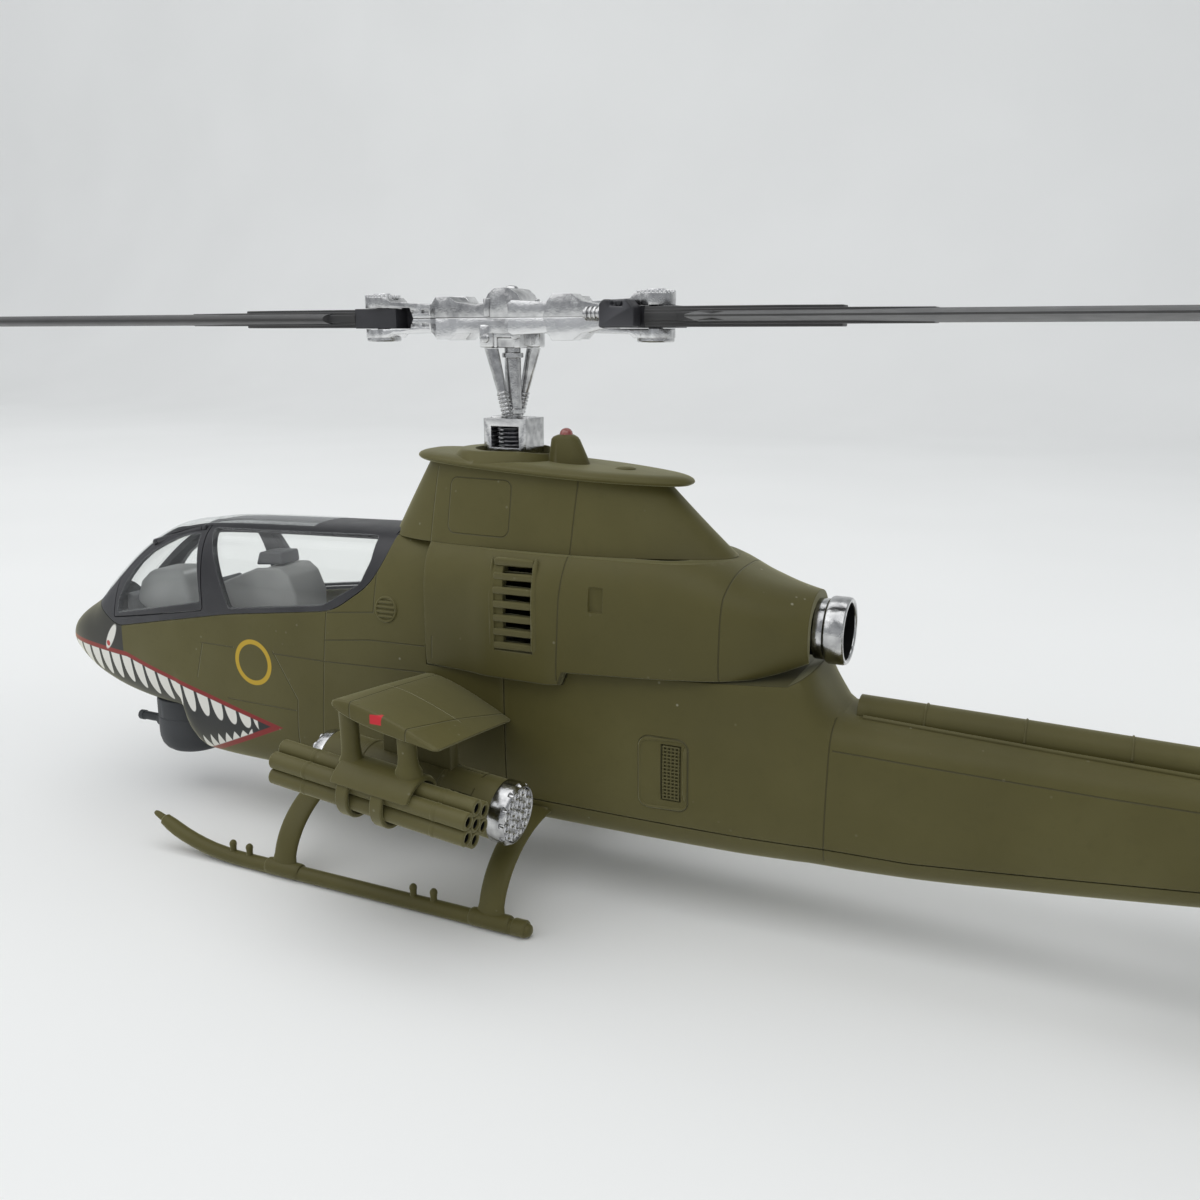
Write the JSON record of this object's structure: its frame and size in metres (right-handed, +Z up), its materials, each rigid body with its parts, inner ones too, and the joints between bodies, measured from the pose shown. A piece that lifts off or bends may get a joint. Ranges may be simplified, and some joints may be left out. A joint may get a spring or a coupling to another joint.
{
  "type": "helicopter scale model",
  "caption": "Display scale model of a slender attack helicopter with stub wings, pods and skids; rotors, chin turret and canopy doors move.",
  "frame": {"origin": "middle of the overall length and width, on the surface that the skids rest on", "axes": "+Z up, +X aft so the nose points along -X, +Y to starboard"},
  "size_m": [0.3206, 0.0698, 0.0866],
  "materials": {
    "olive_metal": "matte",
    "olive_plastic": "matte",
    "black_paint": "satin",
    "blade_satin": "satin",
    "plated": "satin",
    "dark_plated": "satin",
    "clear_plastic": "gloss",
    "cockpit_gray": "matte",
    "seat_gray": "matte",
    "red_lens": "gloss",
    "bronze": "satin",
    "steel": "satin",
    "ballast": "matte"
  },
  "bodies": {
    "airframe": {"forward_fuselage": "olive_metal", "aft_fuselage": "olive_plastic", "belly_plate": "olive_plastic", "engine_cowl": "olive_metal", "mast_fairing": "olive_metal", "fairing_cap": "olive_metal", "beacon_lens": "red_lens", "drive_shaft_cover": "olive_plastic", "tail_fin": "olive_plastic", "elevator_left": "olive_plastic", "elevator_right": "olive_plastic", "tail_skid": "olive_plastic", "tail_gearbox": "olive_plastic", "exhaust_ring": "plated", "exhaust_pipe": "black_paint", "canopy_frame": "black_paint", "windshield": "clear_plastic", "front_window_right": "clear_plastic", "rear_window_left": "clear_plastic", "cockpit_tub": "cockpit_gray", "gunner_seat": "seat_gray", "pilot_seat": "seat_gray", "gunner_console": "cockpit_gray", "pilot_console": "cockpit_gray", "pilot_headrest": "cockpit_gray", "control_sticks": "seat_gray", "nose_weight": "ballast", "case_screws": "steel", "wing_left": "olive_plastic", "wing_right": "olive_plastic", "pod_mount_left": "olive_plastic", "pod_mount_right": "olive_plastic", "seven_tube_pod_left": "olive_plastic", "seven_tube_pod_right": "olive_plastic", "nineteen_tube_pod_left": "olive_plastic", "nineteen_tube_pod_right": "olive_plastic", "nineteen_pod_rings_left": "plated", "nineteen_pod_rings_right": "plated", "skid_left": "olive_plastic", "skid_right": "olive_plastic", "cross_tube_front": "olive_plastic", "cross_tube_rear": "olive_plastic", "mast_bearing": "bronze"},
    "main_rotor": {"rotor_mast": "plated", "mast_bracket": "plated", "mast_bellows": "dark_plated", "control_links": "plated", "yoke_upper": "plated", "yoke_lower": "plated", "blade_roots": "black_paint", "rotor_blades": "blade_satin", "blade_bolts": "steel"},
    "tail_rotor_assembly": {"tail_rotor": "blade_satin"},
    "turret": {"turret_housing": "black_paint", "turret_clip": "steel", "turret_guns": "black_paint"},
    "gunner_door": {"gunner_door_frame": "black_paint", "gunner_door_glass": "clear_plastic"},
    "pilot_door": {"pilot_door_frame": "black_paint", "pilot_door_glass": "clear_plastic"}
  },
  "joints": [
    {"name": "main_rotor_spin", "type": "hinge", "parent": "airframe", "child": "main_rotor", "pos_m": [-0.02065, 0, 0.0813], "axis": [0, 0, 1], "continuous": true},
    {"name": "tail_rotor_spin", "type": "hinge", "parent": "airframe", "child": "tail_rotor_assembly", "pos_m": [0.14905, -0.0062, 0.06], "axis": [0, 1, 0], "continuous": true},
    {"name": "turret_azimuth", "type": "hinge", "parent": "airframe", "child": "turret", "pos_m": [-0.08695, 0, 0.0122], "axis": [0, 0, 1], "range_deg": [-90, 90]},
    {"name": "gunner_door_hinge", "type": "hinge", "parent": "airframe", "child": "gunner_door", "pos_m": [-0.08125, -0.00525, 0.04675], "axis": [-0.9642, 0, -0.2652], "range_deg": [0, 60]},
    {"name": "pilot_door_hinge", "type": "hinge", "parent": "airframe", "child": "pilot_door", "pos_m": [-0.05605, 0.00525, 0.04913], "axis": [0.9996, 0, 0.0293], "range_deg": [0, 60]}
  ]
}
